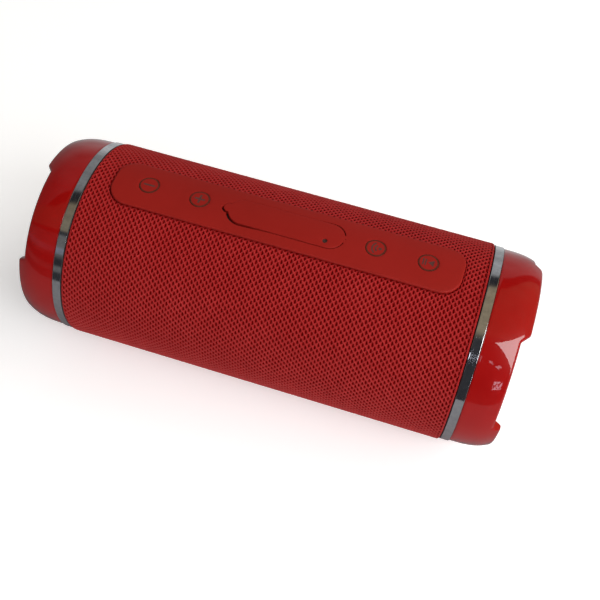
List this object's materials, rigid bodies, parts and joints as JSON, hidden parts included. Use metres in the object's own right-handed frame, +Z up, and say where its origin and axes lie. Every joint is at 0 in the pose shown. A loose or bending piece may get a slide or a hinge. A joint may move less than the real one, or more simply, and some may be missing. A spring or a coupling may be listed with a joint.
{
  "type": "portable speaker",
  "caption": "Cylindrical portable wireless speaker in red knit fabric, with glossy notched end caps, bright trim rings and a soft key panel with a flap over its ports.",
  "frame": {"origin": "centre of the footprint, on the sole of the foot", "axes": "+X along the cylinder, +Z up through the key panel, -Y the side the drivers face"},
  "size_m": [0.1868, 0.077, 0.0789],
  "materials": {
    "cap_gloss": "high gloss moulded plastic",
    "trim_chrome": "bright plated",
    "fabric_red": "open knit polyester",
    "panel_silicone": "matte silicone",
    "shell_plastic": "fine texture",
    "foot_rubber": "matte",
    "radiator_rubber": "satin",
    "radiator_metal": "spun",
    "steel": "plain",
    "brass": "plain",
    "basket_paint": "satin",
    "ferrite": "sintered",
    "cone_paper": "pressed paper",
    "spider_cloth": "resin cloth",
    "board_green": "solder mask",
    "chip_black": "moulded",
    "battery_wrap": "shrink film",
    "wire_red": "insulation"
  },
  "bodies": {
    "housing": {"aux_jack": "chip_black", "base_foot": "foot_rubber", "battery_cell": "battery_wrap", "battery_cradle": "shell_plastic", "battery_leads": "wire_red", "board_chips": "chip_black", "board_screws": "steel", "board_spacers": "brass", "card_slot": "steel", "charge_socket": "steel", "control_panel": "panel_silicone", "driver_basket_left": "basket_paint", "driver_basket_right": "basket_paint", "driver_leads": "wire_red", "driver_magnet_left": "ferrite", "driver_magnet_right": "ferrite", "driver_poles_left": "steel", "driver_poles_right": "steel", "driver_screws": "steel", "driver_spider_left": "spider_cloth", "driver_spider_right": "spider_cloth", "driver_surround_left": "radiator_rubber", "driver_surround_right": "radiator_rubber", "end_cap_left": "cap_gloss", "end_cap_right": "cap_gloss", "fabric_sleeve": "fabric_red", "front_shell": "shell_plastic", "main_board": "board_green", "microphone": "steel", "port_board": "board_green", "port_tray": "shell_plastic", "radiator_frame_left": "shell_plastic", "radiator_frame_right": "shell_plastic", "radiator_screws": "steel", "radiator_surround_left": "radiator_rubber", "radiator_surround_right": "radiator_rubber", "rear_cover": "shell_plastic", "rear_cover_screws": "steel", "switch_bodies": "shell_plastic", "trim_ring_left": "trim_chrome", "trim_ring_right": "trim_chrome"},
    "cover": {"port_cover": "panel_silicone"},
    "radiator_left": {"radiator_plate_left": "radiator_metal"},
    "radiator_right": {"radiator_plate_right": "radiator_metal"},
    "cone_left": {"driver_cone_left": "cone_paper", "driver_dust_cap_left": "cone_paper", "driver_coil_left": "brass"},
    "cone_right": {"driver_cone_right": "cone_paper", "driver_dust_cap_right": "cone_paper", "driver_coil_right": "brass"},
    "key_minus": {"key_minus": "panel_silicone"},
    "plunger_minus": {"plunger_minus": "chip_black"},
    "key_plus": {"key_plus": "panel_silicone"},
    "plunger_plus": {"plunger_plus": "chip_black"},
    "key_wireless": {"key_wireless": "panel_silicone"},
    "plunger_wireless": {"plunger_wireless": "chip_black"},
    "key_play": {"key_play": "panel_silicone"},
    "plunger_play": {"plunger_play": "chip_black"}
  },
  "joints": [
    {"name": "key_minus_press", "type": "slide", "parent": "housing", "child": "key_minus", "axis": [0, 0, -1], "range_m": [0, 0.0004], "stiffness_N_per_m": 1500},
    {"name": "plunger_minus_press", "type": "slide", "parent": "housing", "child": "plunger_minus", "axis": [0, 0, -1], "range_m": [0, 0.0004]},
    {"name": "key_plus_press", "type": "slide", "parent": "housing", "child": "key_plus", "axis": [0, 0, -1], "range_m": [0, 0.0004], "stiffness_N_per_m": 1500},
    {"name": "plunger_plus_press", "type": "slide", "parent": "housing", "child": "plunger_plus", "axis": [0, 0, -1], "range_m": [0, 0.0004]},
    {"name": "key_wireless_press", "type": "slide", "parent": "housing", "child": "key_wireless", "axis": [0, 0, -1], "range_m": [0, 0.0004], "stiffness_N_per_m": 1500},
    {"name": "plunger_wireless_press", "type": "slide", "parent": "housing", "child": "plunger_wireless", "axis": [0, 0, -1], "range_m": [0, 0.0004]},
    {"name": "key_play_press", "type": "slide", "parent": "housing", "child": "key_play", "axis": [0, 0, -1], "range_m": [0, 0.0004], "stiffness_N_per_m": 1500},
    {"name": "plunger_play_press", "type": "slide", "parent": "housing", "child": "plunger_play", "axis": [0, 0, -1], "range_m": [0, 0.0004]},
    {"name": "port_cover_open", "type": "hinge", "parent": "housing", "child": "cover", "pos_m": [0.02265, 0, 0.0789], "axis": [0, 1, 0], "range_deg": [0, 150], "stiffness_Nm_per_rad": 0.0008},
    {"name": "radiator_left_stroke", "type": "slide", "parent": "housing", "child": "radiator_left", "axis": [-1, 0, 0], "range_m": [-0.0025, 0.0025], "stiffness_N_per_m": 2500},
    {"name": "cone_left_stroke", "type": "slide", "parent": "housing", "child": "cone_left", "axis": [0, -1, 0], "range_m": [-0.0015, 0.0015], "stiffness_N_per_m": 1500},
    {"name": "radiator_right_stroke", "type": "slide", "parent": "housing", "child": "radiator_right", "axis": [1, 0, 0], "range_m": [-0.0025, 0.0025], "stiffness_N_per_m": 2500},
    {"name": "cone_right_stroke", "type": "slide", "parent": "housing", "child": "cone_right", "axis": [0, -1, 0], "range_m": [-0.0015, 0.0015], "stiffness_N_per_m": 1500}
  ],
  "couplings": [
    {"joint": "plunger_minus_press", "follows": "key_minus_press", "ratio": 1},
    {"joint": "plunger_plus_press", "follows": "key_plus_press", "ratio": 1},
    {"joint": "plunger_wireless_press", "follows": "key_wireless_press", "ratio": 1},
    {"joint": "plunger_play_press", "follows": "key_play_press", "ratio": 1}
  ]
}
